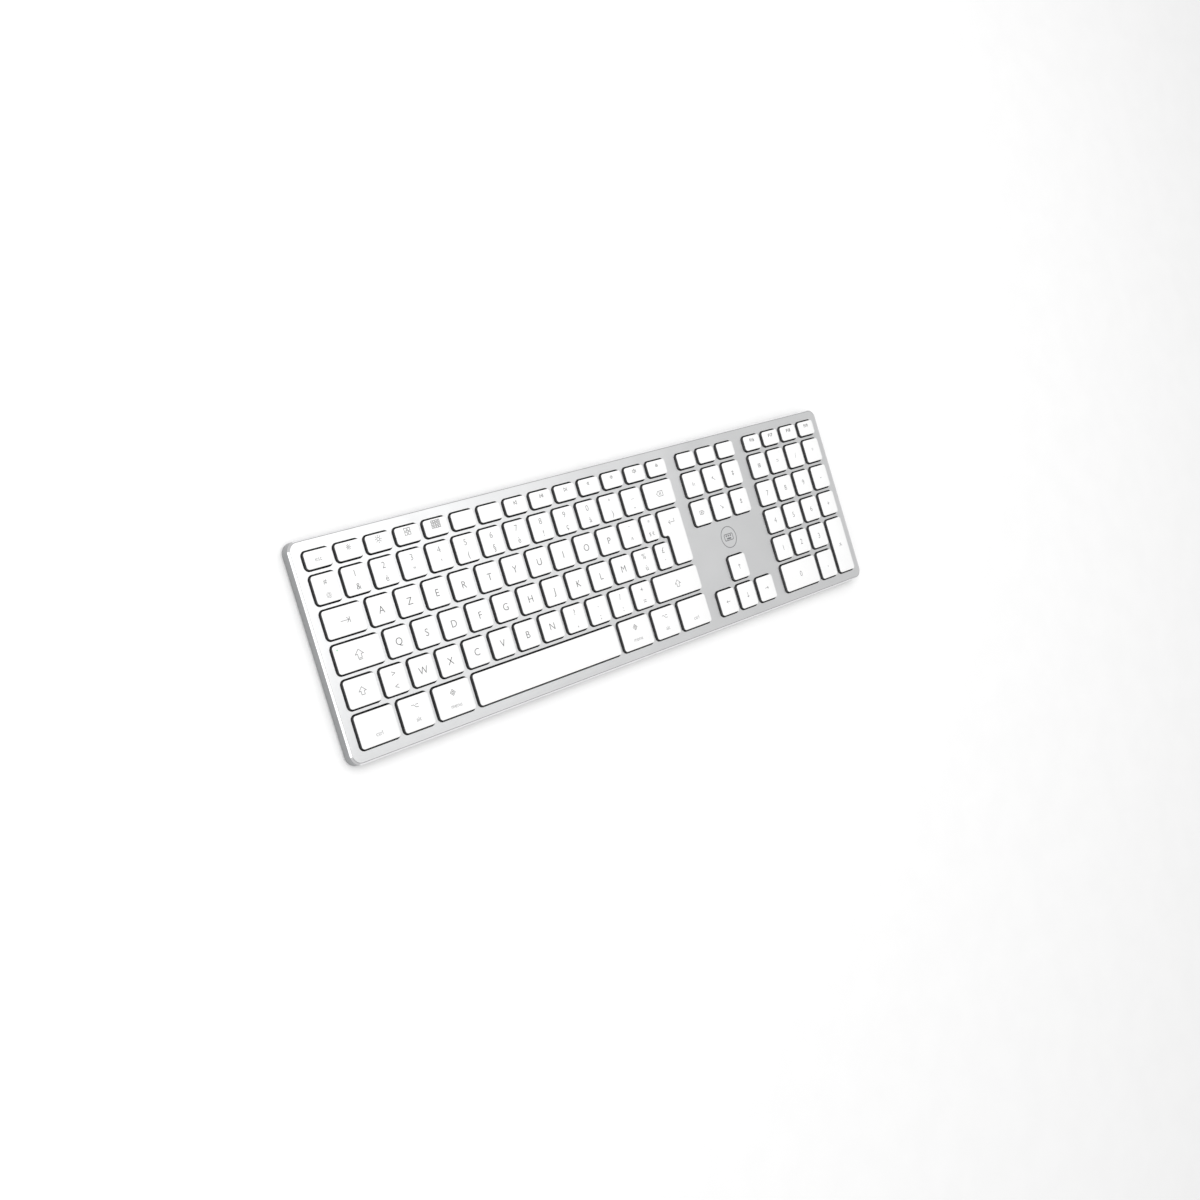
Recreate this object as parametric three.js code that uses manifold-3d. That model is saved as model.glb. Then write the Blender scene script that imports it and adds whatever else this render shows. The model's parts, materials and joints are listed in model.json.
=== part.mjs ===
// Slim wireless keyboard with a numeric keypad, in millimetres.
// +X runs along the key rows towards the numeric keypad, +Y points to the rear edge, +Z is up.
// The origin is at the middle of the footprint, on the surface the feet stand on.

import * as THREE from 'three';
import { mergeVertices } from 'three/addons/utils/BufferGeometryUtils.js';
import Module from 'manifold-3d';

const wasm = await Module();
wasm.setup();

// ---- Driving dimensions ----

const PITCH = 18.3;                       // key to key, both ways
const STRIP = 0.088 * PITCH;              // metal left between two key openings
const FUNCTION_PITCH = 0.685 * PITCH;     // depth of the low function row
const BOTTOM_ROW_DEPTH = 1.055 * PITCH;   // opening depth in the row nearest the user
const BLOCK_GAP = 0.41 * PITCH;           // extra space between letter, cursor and number blocks
const MARGIN = 0.333 * PITCH;             // metal outside the outermost openings
const KEY_GAP = 0.9;                      // between an opening and its cap
const KEY_CORNER = 2.0;                   // corner radius of an opening
const KEY_RISE = 1.75;                    // cap top above the cover
const KEY_TRAVEL = 1.0;                   // how far a cap goes down

const CASE_CORNER = 6.0;
const CASE_HEIGHT = 6.3;
const SHEET = 1.0;                        // thickness of the cover's top
const WALL = 1.2;                         // thickness of the cover's sides
const EDGE_WIDTH = 0.8;                   // bevel along the cover's top edge
const EDGE_DROP = 0.9;
const FOOT_HEIGHT = 1.0;
const LAYER_GAP = 0.1;                    // adhesive between two flat layers
const CLEARANCE = 0.3;                    // between pieces that pass each other

const BOTTOM_SHEET = 0.8;
const BATTERY = { width: 150, depth: 62, height: 1.0 };
const BOARD = { width: 120, depth: 16, height: 0.6 };
const SUPPORT_SHEET = 0.4;
const MEMBRANE_SHEET = 0.2;
const DOME_SHEET = 0.2;
const DOME = { base: 3.0, top: 2.0, sides: 4 };
const WEB = { height: 0.4, depth: 0.6 };  // joins the caps of one row; depth is a share of the cap's
const CLIP = { width: 7, depth: 5 };      // block under a single cap
const FOOT = { width: 380, depth: 5, inset: 9 };

const PORT = { width: 8.9, height: 3.1, depth: 4.6, wall: 0.4, tongue: 0.7, x: 0 };
const SWITCH = { width: 4.0, height: 1.8, travel: 3.0, x: 150, carrier: 1.2, recess: 0.2 };

const KEY_CORNER_STEPS = 2;
const CASE_CORNER_STEPS = 4;

// ---- Levels, from the table up ----

const CASE_BOTTOM = FOOT_HEIGHT;
const CASE_TOP = CASE_BOTTOM + CASE_HEIGHT;
const COVER_UNDERSIDE = CASE_TOP - SHEET;
const BATTERY_BOTTOM = CASE_BOTTOM + BOTTOM_SHEET + LAYER_GAP;
const SUPPORT_BOTTOM = BATTERY_BOTTOM + BATTERY.height + LAYER_GAP;
const MEMBRANE_BOTTOM = SUPPORT_BOTTOM + SUPPORT_SHEET + LAYER_GAP;
const DOME_SHEET_BOTTOM = MEMBRANE_BOTTOM + MEMBRANE_SHEET + LAYER_GAP;
const WEB_TOP = COVER_UNDERSIDE - CLEARANCE;
const WEB_BOTTOM = WEB_TOP - WEB.height;
const CAP_BOTTOM = WEB_TOP - WEB.height / 2;
const CAP_TOP = CASE_TOP + KEY_RISE;
const DOME_BOTTOM = DOME_SHEET_BOTTOM + DOME_SHEET;
const DOME_TOP = WEB_BOTTOM - KEY_TRAVEL - LAYER_GAP;
const BOARD_TOP = BATTERY_BOTTOM + BOARD.height;
const PORT_BOTTOM = BOARD_TOP + LAYER_GAP;

// ---- Key layout ----

const OPENING = PITCH - STRIP;
const MAIN_COLUMNS = 14.5;
const CURSOR_LEFT = MAIN_COLUMNS * PITCH + BLOCK_GAP;
const NUMBER_LEFT = CURSOR_LEFT + 3 * PITCH + BLOCK_GAP;
const FIELD_WIDTH = NUMBER_LEFT + 4 * PITCH - STRIP;
const FIELD_DEPTH = FUNCTION_PITCH + 4 * PITCH + BOTTOM_ROW_DEPTH;
const CASE_WIDTH = FIELD_WIDTH + 2 * MARGIN;
const CASE_DEPTH = FIELD_DEPTH + 2 * MARGIN;
const CASE_REAR = CASE_DEPTH / 2;
const ARROW_DEPTH = BOTTOM_ROW_DEPTH - 0.13 * PITCH;

// Rear edge of a row of openings, measured forward from the rear of the key field.
// Row 0 is the function row and row 5 is the one with the space bar.
function rowStart(row) {
  return row === 0 ? 0 : FUNCTION_PITCH + (row - 1) * PITCH;
}

function rowDepth(row) {
  if (row === 0) return FUNCTION_PITCH - STRIP;
  return row === 5 ? BOTTOM_ROW_DEPTH : OPENING;
}

// An opening as its corners, counter-clockwise. left and rear are measured from the rear left
// corner of the key field.
function rectangle(left, rear, width, depth) {
  const x = left - FIELD_WIDTH / 2;
  const y = FIELD_DEPTH / 2 - rear;
  return [[x, y - depth], [x + width, y - depth], [x + width, y], [x, y]];
}

// Openings side by side in one row, from their widths in pitches
function openings(row, left, widths) {
  const result = [];
  let start = left;
  for (const width of widths) {
    result.push(rectangle(start, rowStart(row), width * PITCH - STRIP, rowDepth(row)));
    start += width * PITCH;
  }
  return result;
}

const repeat = (count, width) => new Array(count).fill(width);

// The return key stands over two rows and is wider in the rear one
function returnOpening() {
  const right = MAIN_COLUMNS * PITCH - STRIP;
  const upper = rectangle(13.3 * PITCH, rowStart(2), right - 13.3 * PITCH, OPENING);
  const lower = rectangle(13.55 * PITCH, rowStart(3), right - 13.55 * PITCH, OPENING);
  return [lower[0], lower[1], upper[2], upper[3], upper[0], [lower[0][0], upper[0][1]]];
}

const functionRow = openings(0, 0, repeat(14, MAIN_COLUMNS / 14));
const numberRow = openings(1, 0, [...repeat(13, 1), 1.5]);
const upperRow = openings(2, 0, [1.5, ...repeat(11, 1), 0.8]);
const homeRow = openings(3, 0, [1.75, ...repeat(11, 1), 0.8]);
const lowerRow = openings(4, 0, [1.25, ...repeat(11, 1), 2.25]);
const spaceRow = openings(5, 0, [1.5, 1.25, 1.5, 6, 1.5, 1.25, 1.5]);

const arrowRow = [0, 1, 2].map((column) => rectangle(
  CURSOR_LEFT + column * PITCH, FIELD_DEPTH - ARROW_DEPTH, OPENING, ARROW_DEPTH));
const upArrow = rectangle(CURSOR_LEFT + PITCH, FIELD_DEPTH - ARROW_DEPTH - PITCH, OPENING, OPENING);
const enterOpening = rectangle(
  NUMBER_LEFT + 3 * PITCH, rowStart(4), OPENING, PITCH + BOTTOM_ROW_DEPTH);
const [zeroOpening, pointOpening] = openings(5, NUMBER_LEFT, [2, 1]);

// Every cap that moves by itself, and every row of caps that moves as one piece
const keys = {
  function_row_keys: functionRow,
  number_row_keys: numberRow.slice(0, 13),
  backspace_key: [numberRow[13]],
  tab_key: [upperRow[0]],
  upper_letter_keys: upperRow.slice(1),
  caps_lock_key: [homeRow[0]],
  home_letter_keys: homeRow.slice(1),
  return_key: [returnOpening()],
  left_shift_key: [lowerRow[0]],
  lower_letter_keys: lowerRow.slice(1, 12),
  right_shift_key: [lowerRow[12]],
  left_modifier_keys: spaceRow.slice(0, 3),
  space_bar: [spaceRow[3]],
  right_modifier_keys: spaceRow.slice(4),
  up_arrow_key: [upArrow],
  pad_zero_key: [zeroOpening],
  pad_point_key: [pointOpening],
  pad_enter_key: [enterOpening],
};

const singleRows = [
  [0, CURSOR_LEFT, ['f13_key', 'f14_key', 'f15_key']],
  [1, CURSOR_LEFT, ['function_key', 'home_key', 'page_up_key']],
  [2, CURSOR_LEFT, ['forward_delete_key', 'end_key', 'page_down_key']],
  [0, NUMBER_LEFT, ['f16_key', 'f17_key', 'f18_key', 'f19_key']],
  [1, NUMBER_LEFT, ['pad_clear_key', 'pad_equals_key', 'pad_divide_key', 'pad_multiply_key']],
  [2, NUMBER_LEFT, ['pad_seven_key', 'pad_eight_key', 'pad_nine_key', 'pad_minus_key']],
  [3, NUMBER_LEFT, ['pad_four_key', 'pad_five_key', 'pad_six_key', 'pad_plus_key']],
  [4, NUMBER_LEFT, ['pad_one_key', 'pad_two_key', 'pad_three_key']],
];
for (const [row, left, names] of singleRows) {
  const rowOpenings = openings(row, left, repeat(names.length, 1));
  names.forEach((name, index) => { keys[name] = [rowOpenings[index]]; });
}
['left_arrow_key', 'down_arrow_key', 'right_arrow_key'].forEach((name, index) => {
  keys[name] = [arrowRow[index]];
});

// ---- Solids ----

// Rounds the corners of a right-angled outline after moving its sides inwards by inset.
// An inner corner keeps its centre, so its radius grows as an outer one's shrinks.
function outline(corners, inset, radius, steps) {
  const points = [];
  const count = corners.length;
  corners.forEach(([x, y], index) => {
    const corner = new THREE.Vector2(x, y);
    const before = new THREE.Vector2(...corners[(index + count - 1) % count]).sub(corner).normalize();
    const after = new THREE.Vector2(...corners[(index + 1) % count]).sub(corner).normalize();
    const side = after.cross(before) > 0 ? 1 : -1;
    const reach = radius - side * inset;
    const diagonal = before.clone().add(after);
    const centre = corner.addScaledVector(diagonal, side * inset + reach);
    for (let step = 0; step <= steps; step += 1) {
      const angle = step / steps * Math.PI / 2;
      points.push(centre.clone()
        .addScaledVector(after, -reach * Math.cos(angle))
        .addScaledVector(before, -reach * Math.sin(angle)));
    }
  });
  return points;
}

// A closed solid through outlines of equally many points, given as [points, z] from the bottom up
function stackedSolid(levels) {
  const positions = levels.flatMap(([points, z]) => points.flatMap((point) => [point.x, point.y, z]));
  const count = levels[0][0].length;
  const triangles = [];
  for (let level = 0; level + 1 < levels.length; level += 1) {
    for (let index = 0; index < count; index += 1) {
      const next = (index + 1) % count;
      const low = level * count;
      const high = low + count;
      triangles.push(low + index, low + next, high + next, low + index, high + next, high + index);
    }
  }
  const topStart = (levels.length - 1) * count;
  for (const [a, b, c] of THREE.ShapeUtils.triangulateShape(levels[0][0], [])) {
    triangles.push(a, c, b);
  }
  for (const [a, b, c] of THREE.ShapeUtils.triangulateShape(levels.at(-1)[0], [])) {
    triangles.push(topStart + a, topStart + b, topStart + c);
  }
  const geometry = new THREE.BufferGeometry();
  geometry.setAttribute('position', new THREE.Float32BufferAttribute(positions, 3));
  geometry.setIndex(triangles);
  return toSolid(geometry);
}

function toSolid(geometry) {
  geometry.deleteAttribute('normal');
  geometry.deleteAttribute('uv');
  const merged = mergeVertices(geometry);
  return new wasm.Manifold(new wasm.Mesh({
    numProp: 3,
    vertProperties: new Float32Array(merged.attributes.position.array),
    triVerts: new Uint32Array(merged.index.array),
  }));
}

function toGeometry(solid) {
  const { vertProperties, triVerts } = solid.getMesh();
  const geometry = new THREE.BufferGeometry();
  geometry.setAttribute('position', new THREE.BufferAttribute(vertProperties, 3));
  geometry.setIndex(new THREE.BufferAttribute(triVerts, 1));
  const faceted = geometry.toNonIndexed();
  faceted.computeVertexNormals();
  return faceted;
}

function block(width, depth, height, x, y, bottom) {
  const geometry = new THREE.BoxGeometry(width, depth, height);
  geometry.translate(x, y, bottom + height / 2);
  return toSolid(geometry);
}

function plate(corners, inset, radius, steps, bottom, height) {
  const points = outline(corners, inset, radius, steps);
  return stackedSolid([[points, bottom], [points, bottom + height]]);
}

const joined = (solids) => solids.reduce((sum, solid) => sum.add(solid));
const cut = (solid, tools) => tools.reduce((rest, tool) => rest.subtract(tool), solid);

function centreOf(corners) {
  const xs = corners.map(([x]) => x);
  const ys = corners.map(([, y]) => y);
  return [(Math.min(...xs) + Math.max(...xs)) / 2, (Math.min(...ys) + Math.max(...ys)) / 2];
}

// ---- Case ----

const caseCorners = rectangle(-MARGIN, -MARGIN, CASE_WIDTH, CASE_DEPTH);
const fieldCorners = rectangle(0, 0, FIELD_WIDTH, FIELD_DEPTH);

// A shallow metal pan, open underneath, with a bevelled top edge and one opening per key
function topCover() {
  const edge = (inset) => outline(caseCorners, inset, CASE_CORNER, CASE_CORNER_STEPS);
  const shell = stackedSolid([
    [edge(0), CASE_BOTTOM],
    [edge(0), CASE_TOP - EDGE_DROP],
    [edge(EDGE_WIDTH), CASE_TOP],
  ]);
  const pocket = plate(
    caseCorners, WALL, CASE_CORNER, CASE_CORNER_STEPS, 0, COVER_UNDERSIDE);
  const keyOpenings = Object.values(keys).flat().map((corners) => plate(
    corners, 0, KEY_CORNER, KEY_CORNER_STEPS, COVER_UNDERSIDE - SHEET, 3 * SHEET));
  const portOpening = block(
    PORT.width + 2 * CLEARANCE, 4 * WALL, PORT.height + 2 * CLEARANCE,
    PORT.x, CASE_REAR, PORT_BOTTOM - CLEARANCE);
  const switchOpening = block(
    SWITCH.width + SWITCH.travel + 2 * CLEARANCE, 4 * WALL, SWITCH.height + 2 * CLEARANCE,
    SWITCH.x + SWITCH.travel / 2, CASE_REAR, switchBottom() - CLEARANCE);
  return cut(shell, [pocket, ...keyOpenings, portOpening, switchOpening]);
}

function bottomCover() {
  return plate(
    caseCorners, WALL + CLEARANCE, CASE_CORNER, CASE_CORNER_STEPS, CASE_BOTTOM, BOTTOM_SHEET);
}

function foot(side) {
  const y = side * (CASE_REAR - FOOT.inset);
  const corners = [
    [-FOOT.width / 2, y - FOOT.depth / 2], [FOOT.width / 2, y - FOOT.depth / 2],
    [FOOT.width / 2, y + FOOT.depth / 2], [-FOOT.width / 2, y + FOOT.depth / 2],
  ];
  return plate(corners, 0, 0.45 * FOOT.depth, 3, 0, FOOT_HEIGHT - LAYER_GAP);
}

// ---- Keys ----

function cap(corners) {
  return plate(
    corners, KEY_GAP, KEY_CORNER, KEY_CORNER_STEPS, CAP_BOTTOM, CAP_TOP - CAP_BOTTOM);
}

// Caps that move together are joined by a thin web that runs under the cover
function webUnder(group) {
  const left = centreOf(group[0])[0];
  const right = centreOf(group.at(-1))[0];
  const depth = WEB.depth * (group[0][2][1] - group[0][1][1]);
  return block(
    right - left, depth, WEB.height, (left + right) / 2, centreOf(group[0])[1], WEB_BOTTOM);
}

function keyPiece(group) {
  const caps = group.map(cap);
  if (group.length > 1) return joined([...caps, webUnder(group)]);
  const [x, y] = centreOf(group[0]);
  return joined([...caps, block(CLIP.width, CLIP.depth, WEB.height, x, y, WEB_BOTTOM)]);
}

// ---- Layers under the keys ----

// The silicone sheet carries one low dome under the middle of every key, as tall as it is when
// the key is down
function domeSheet() {
  const sheet = plate(fieldCorners, 0, KEY_CORNER, 1, DOME_SHEET_BOTTOM, DOME_SHEET);
  const sunk = DOME_SHEET / 2;
  const domes = Object.values(keys).flat().map((corners) => {
    const [x, y] = centreOf(corners);
    const height = DOME_TOP - DOME_BOTTOM + sunk;
    const dome = new THREE.CylinderGeometry(DOME.top, DOME.base, height, DOME.sides);
    dome.rotateX(Math.PI / 2);
    dome.translate(x, y, DOME_TOP - height / 2);
    return toSolid(dome);
  });
  return joined([sheet, ...domes]);
}

// ---- Electrical parts ----

// A flat metal tube with round sides, closed at the back, with the contact tongue inside
function usbPort() {
  const middle = PORT_BOTTOM + PORT.height / 2;
  const front = CASE_REAR - LAYER_GAP;
  const shape = (inset) => {
    const halfWidth = PORT.width / 2;
    const halfHeight = PORT.height / 2;
    const corners = [
      [-halfWidth, -halfHeight], [halfWidth, -halfHeight],
      [halfWidth, halfHeight], [-halfWidth, halfHeight],
    ];
    return outline(corners, inset, 0.45 * PORT.height, 3);
  };
  const upright = (inset, start, end) => stackedSolid([[shape(inset), start], [shape(inset), end]])
    .rotate([-90, 0, 0]);
  const shell = upright(0, 0, PORT.depth);
  const cavity = upright(PORT.wall, PORT.wall, 2 * PORT.depth);
  const tongueLength = 0.8 * PORT.depth;
  const tongue = block(0.7 * PORT.width, tongueLength, PORT.tongue, 0, tongueLength / 2, -PORT.tongue / 2);
  return joined([cut(shell, [cavity]), tongue]).translate([PORT.x, front - PORT.depth, middle]);
}

function switchBottom() {
  return PORT_BOTTOM + (PORT.height - SWITCH.height) / 2;
}

// The thumb piece stands in the cover's slot and its wider carrier runs behind the wall
function powerSwitch() {
  const outer = CASE_REAR - SWITCH.recess;
  const inner = CASE_REAR - WALL - CLEARANCE;
  const thumb = block(
    SWITCH.width, outer - inner, SWITCH.height, SWITCH.x, (outer + inner) / 2, switchBottom());
  const carrier = block(
    SWITCH.width + 2 * CLEARANCE + SWITCH.travel, SWITCH.carrier, SWITCH.height + 2 * CLEARANCE,
    SWITCH.x, inner - SWITCH.carrier / 2 + LAYER_GAP, switchBottom() - CLEARANCE);
  return joined([thumb, carrier]);
}

// ---- Materials ----

function finish(color, roughness, metalness) {
  return new THREE.MeshStandardMaterial({ color, roughness, metalness });
}

const aluminium = finish(0xd6d8da, 0.35, 1);
const whiteCap = finish(0xf6f6f4, 0.5, 0);
const whiteBase = finish(0xe9e9e8, 0.55, 0);
const steel = finish(0x9a9da1, 0.4, 1);
const film = finish(0xb9c2c4, 0.5, 0);
const silicone = finish(0x1c1c1d, 0.7, 0);
const circuit = finish(0x1f5a3a, 0.5, 0);
const cell = finish(0x2b2c2e, 0.5, 0);
const rubber = finish(0x8d8f92, 0.85, 0);

// ---- Assembly ----

const keyboard = new THREE.Group();

function add(name, solid, material) {
  const mesh = new THREE.Mesh(toGeometry(solid), material);
  mesh.name = name;
  keyboard.add(mesh);
}

add('top_cover', topCover(), aluminium);
add('bottom_cover', bottomCover(), whiteBase);
add('front_foot', foot(-1), rubber);
add('rear_foot', foot(1), rubber);
add('battery_pack', block(
  BATTERY.width, BATTERY.depth, BATTERY.height, -0.2 * CASE_WIDTH, 0, BATTERY_BOTTOM), cell);
add('controller_board', block(
  BOARD.width, BOARD.depth, BOARD.height,
  PORT.x, CASE_REAR - WALL - CLEARANCE - BOARD.depth / 2, BATTERY_BOTTOM), circuit);
add('support_plate', plate(
  fieldCorners, 0, KEY_CORNER, 1, SUPPORT_BOTTOM, SUPPORT_SHEET), steel);
add('contact_membrane', plate(
  fieldCorners, 0, KEY_CORNER, 1, MEMBRANE_BOTTOM, MEMBRANE_SHEET), film);
add('dome_sheet', domeSheet(), silicone);
add('usb_port', usbPort(), steel);
add('power_switch', powerSwitch(), whiteBase);
for (const [name, group] of Object.entries(keys)) {
  add(name, keyPiece(group), whiteCap);
}

export default keyboard;
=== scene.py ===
"""Looks of a slim wireless keyboard with a numeric keypad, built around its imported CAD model."""

import json
import math

import bmesh
import bpy
from mathutils import Matrix, Quaternion, Vector
from mathutils.geometry import delaunay_2d_cdt


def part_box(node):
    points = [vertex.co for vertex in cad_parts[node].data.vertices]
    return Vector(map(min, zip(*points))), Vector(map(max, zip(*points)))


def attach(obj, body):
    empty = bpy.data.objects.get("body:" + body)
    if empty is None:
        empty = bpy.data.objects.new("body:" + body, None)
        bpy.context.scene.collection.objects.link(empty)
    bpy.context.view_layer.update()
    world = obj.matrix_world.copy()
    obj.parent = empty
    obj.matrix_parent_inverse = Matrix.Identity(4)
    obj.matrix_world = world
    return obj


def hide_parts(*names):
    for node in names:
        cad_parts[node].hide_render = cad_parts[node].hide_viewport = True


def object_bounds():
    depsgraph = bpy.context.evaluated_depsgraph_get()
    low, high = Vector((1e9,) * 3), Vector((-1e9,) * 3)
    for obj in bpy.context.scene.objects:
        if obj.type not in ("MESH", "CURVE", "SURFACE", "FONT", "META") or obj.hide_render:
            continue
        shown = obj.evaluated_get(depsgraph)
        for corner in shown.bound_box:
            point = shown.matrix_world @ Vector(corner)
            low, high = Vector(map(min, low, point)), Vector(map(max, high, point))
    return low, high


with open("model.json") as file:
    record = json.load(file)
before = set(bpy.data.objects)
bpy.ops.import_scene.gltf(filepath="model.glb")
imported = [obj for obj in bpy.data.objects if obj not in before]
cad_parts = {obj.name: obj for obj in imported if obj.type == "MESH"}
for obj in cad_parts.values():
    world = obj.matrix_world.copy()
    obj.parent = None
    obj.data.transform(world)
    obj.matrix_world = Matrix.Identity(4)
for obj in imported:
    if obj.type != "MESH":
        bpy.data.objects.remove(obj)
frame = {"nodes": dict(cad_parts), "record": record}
cad_low, cad_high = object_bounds()

MM = 0.001

# ---- Sizes that the CAD boxes don't give, in metres ----

KEY_GAP = 0.9 * MM  # between an opening in the cover and its cap
KEY_CORNER = 2.0 * MM  # corner radius of an opening
CAP_CORNER = 1.6 * MM
CAP_EDGE = 0.35 * MM  # rounding along a cap's top edge
CAP_WALL = 1.0 * MM
CAP_LIFT = 2.0 * MM  # of a cap's lower rim above the foil
CORNER_STEPS = 6
EDGE_STEPS = 3

CASE_CORNER = 6.0 * MM
CASE_CORNER_STEPS = 16
SHEET = 1.0 * MM
WALL = 1.2 * MM
EDGE_WIDTH = 0.8 * MM  # polished bevel along the cover's top edge
EDGE_DROP = 0.9 * MM
EDGE_LINE = 0.3 * MM  # fine groove between the bevel and the top face
EDGE_LINE_DEPTH = 0.12 * MM
CLEARANCE = 0.3 * MM  # round the port and the switch in the rear wall
OPENING_BREAK = 0.08 * MM  # broken edge round each opening
BASE_EDGE = 0.2 * MM
FOOT_EDGE = 0.25 * MM
FOOT_CORNER = 2.4 * MM
FOOT_CORNER_STEPS = 10

LEGEND_HEIGHT = 0.02 * MM  # how far print stands above a cap
LEGEND_STROKE = 0.3 * MM
STROKE_STEP = 0.004 * MM  # between the tops of strokes that cross
ICON_SIZE = 3.2 * MM
CAPITAL_HEIGHT = 0.7  # of the type size
GLYPH_STEPS = 4  # along each curve of a letter

SHARP_ANGLE = 30  # in degrees: an edge that turns more is shaded as a sharp edge
ROUNDED_ANGLE = 50  # the same, for pieces with a rounded edge of few steps
DOME_ANGLE = 40
WELD_DISTANCE = 1e-7

# ---- Layout, from the CAD boxes ----


def flat_box(node):
    """(left, front, right, rear) of a CAD node."""
    low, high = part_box(node)
    return low.x, low.y, high.x, high.y


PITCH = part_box("pad_eight_key")[0].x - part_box("pad_seven_key")[0].x
CAP_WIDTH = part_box("pad_seven_key")[1].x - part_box("pad_seven_key")[0].x
SPACING = PITCH - CAP_WIDTH  # between neighbouring caps
CAP_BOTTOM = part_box("contact_membrane")[1].z + CAP_LIFT
CAP_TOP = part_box("space_bar")[1].z
CASE_LOW, CASE_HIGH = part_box("top_cover")

# Widths in pitches of the caps that share one CAD node, from left to right
CAP_ROWS = {
    "function_row_keys": [14.5 / 14] * 14,
    "number_row_keys": [1] * 13,
    "upper_letter_keys": [1] * 11 + [0.8],
    "home_letter_keys": [1] * 11 + [0.8],
    "lower_letter_keys": [1] * 11,
    "left_modifier_keys": [1.5, 1.25, 1.5],
    "right_modifier_keys": [1.5, 1.25, 1.5],
}
RETURN_LOWER_WIDTH = 0.95  # in pitches


def rectangle(left, front, right, rear):
    """Its corners, counter-clockwise."""
    return [Vector(p) for p in ((left, front), (right, front), (right, rear), (left, rear))]


def cap_outlines(node):
    """The corners of each cap of a node, counter-clockwise."""
    left, front, right, rear = flat_box(node)
    if node == "return_key":
        notch_x = right - (RETURN_LOWER_WIDTH * PITCH - SPACING)
        notch_y = rear - CAP_WIDTH
        shape = [(notch_x, front), (right, front), (right, rear), (left, rear)]
        return [[Vector(p) for p in shape + [(left, notch_y), (notch_x, notch_y)]]]
    caps = []
    for width in CAP_ROWS.get(node, [(right - left + SPACING) / PITCH]):
        end = left + width * PITCH - SPACING
        caps.append(rectangle(left, front, end, rear))
        left += width * PITCH
    return caps


KEYS = {name: cap_outlines(name) for name in frame["nodes"] if name.endswith(("_key", "_keys", "_bar"))}


def middle(corners):
    """The middle of an outline's bounding box."""
    xs = [p.x for p in corners]
    ys = [p.y for p in corners]
    return Vector(((min(xs) + max(xs)) / 2, (min(ys) + max(ys)) / 2))


# ---- Mesh helpers ----


def rounded(corners, inset, radius, steps):
    """A right-angled outline with its sides moved in by inset and its corners rounded."""
    points = []
    for index, corner in enumerate(corners):
        before = (corners[index - 1] - corner).normalized()
        after = (corners[(index + 1) % len(corners)] - corner).normalized()
        side = 1 if after.cross(before) > 0 else -1
        reach = radius - side * inset
        centre = corner + (before + after) * radius
        for step in range(steps + 1):
            angle = step / steps * math.pi / 2
            points.append(centre - after * reach * math.cos(angle) - before * reach * math.sin(angle))
    return points


def ring(mesh, outline, height):
    """New vertices along an outline."""
    return [mesh.verts.new((p.x, p.y, height)) for p in outline]


def band(mesh, low, high, material=0, flip=False):
    """Quads between two rings of equally many points."""
    for index in range(len(low)):
        after = (index + 1) % len(low)
        corners = [low[index], low[after], high[after], high[index]]
        face = mesh.faces.new(corners[::-1] if flip else corners)
        face.material_index = material


def loft(mesh, levels, materials=()):
    """A closed solid through (outline, height) levels; materials holds one index per band."""
    rings = [ring(mesh, outline, height) for outline, height in levels]
    for index, (low, high) in enumerate(zip(rings, rings[1:])):
        band(mesh, low, high, materials[index] if materials else 0)
    mesh.faces.new(rings[0][::-1])
    mesh.faces.new(rings[-1])


def turn_upright(mesh):
    """Turns outlines drawn in XY to stand in XZ, so that a height h becomes a place at y = -h."""
    bmesh.ops.rotate(mesh, verts=mesh.verts, matrix=Matrix.Rotation(math.pi / 2, 3, "X"))


def fill(mesh, outer, holes, facing_up):
    """A flat face between an outer ring and its holes, all of them counter-clockwise."""
    verts = []
    loops = []
    for loop in (outer, *holes):
        loops.append(list(range(len(verts), len(verts) + len(loop))))
        verts += loop
    flat = [vert.co.xy for vert in verts]
    inside_loops = 1
    tolerance = 1e-9
    result = delaunay_2d_cdt(flat, [], loops, inside_loops, tolerance)
    places, _, triangles, sources, _, regions = result
    for triangle, covered_by in zip(triangles, regions):
        in_hole = len(covered_by) > 1
        if in_hole:
            continue
        corners = [verts[sources[i][0]] for i in triangle]
        a, b, c = (places[i] for i in triangle)
        turns_left = (b - a).cross(c - a) > 0
        mesh.faces.new(corners if turns_left == facing_up else corners[::-1])


def finish_piece(name, mesh, materials, body, replaces=(), sharp_angle=SHARP_ANGLE):
    """Makes an object of the mesh, which rides on a body and stands for CAD nodes."""
    data = bpy.data.meshes.new(name)
    mesh.to_mesh(data)
    mesh.free()
    for material in materials:
        data.materials.append(material)
    for polygon in data.polygons:
        polygon.use_smooth = True
    data.set_sharp_from_angle(angle=math.radians(sharp_angle))
    piece = bpy.data.objects.new(name, data)
    bpy.context.collection.objects.link(piece)
    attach(piece, body)
    if replaces:
        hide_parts(*replaces)
    return piece


# ---- Materials ----

# Scale and depth of the fine relief. The patches of polish have a scale, a detail and how far they
# go to either side of the roughness; those of tone have a scale, a detail and their darkest tone.
METAL_NOISES = {"relief": 9000, "depth": 0.02 * MM, "polish": (60, 4, 0.03), "tone": (25, 3, 0.97)}
PLASTIC_NOISES = {"relief": 5000, "depth": 0.01 * MM, "polish": (80, 3, 0.04), "tone": (40, 2, 0.985)}
# The values of a noise that give the two ends of a change
NOISE_RANGE = (0.3, 0.7)
TINT_RANGE = (0.35, 0.65)


def new_material(name, color, roughness, metallic):
    """A plain material without patches or relief."""
    material = bpy.data.materials.new(name)
    material.use_nodes = True
    shader = material.node_tree.nodes["Principled BSDF"]
    shader.inputs["Base Color"].default_value = (*color, 1)
    shader.inputs["Roughness"].default_value = roughness
    shader.inputs["Metallic"].default_value = metallic
    return material


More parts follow.
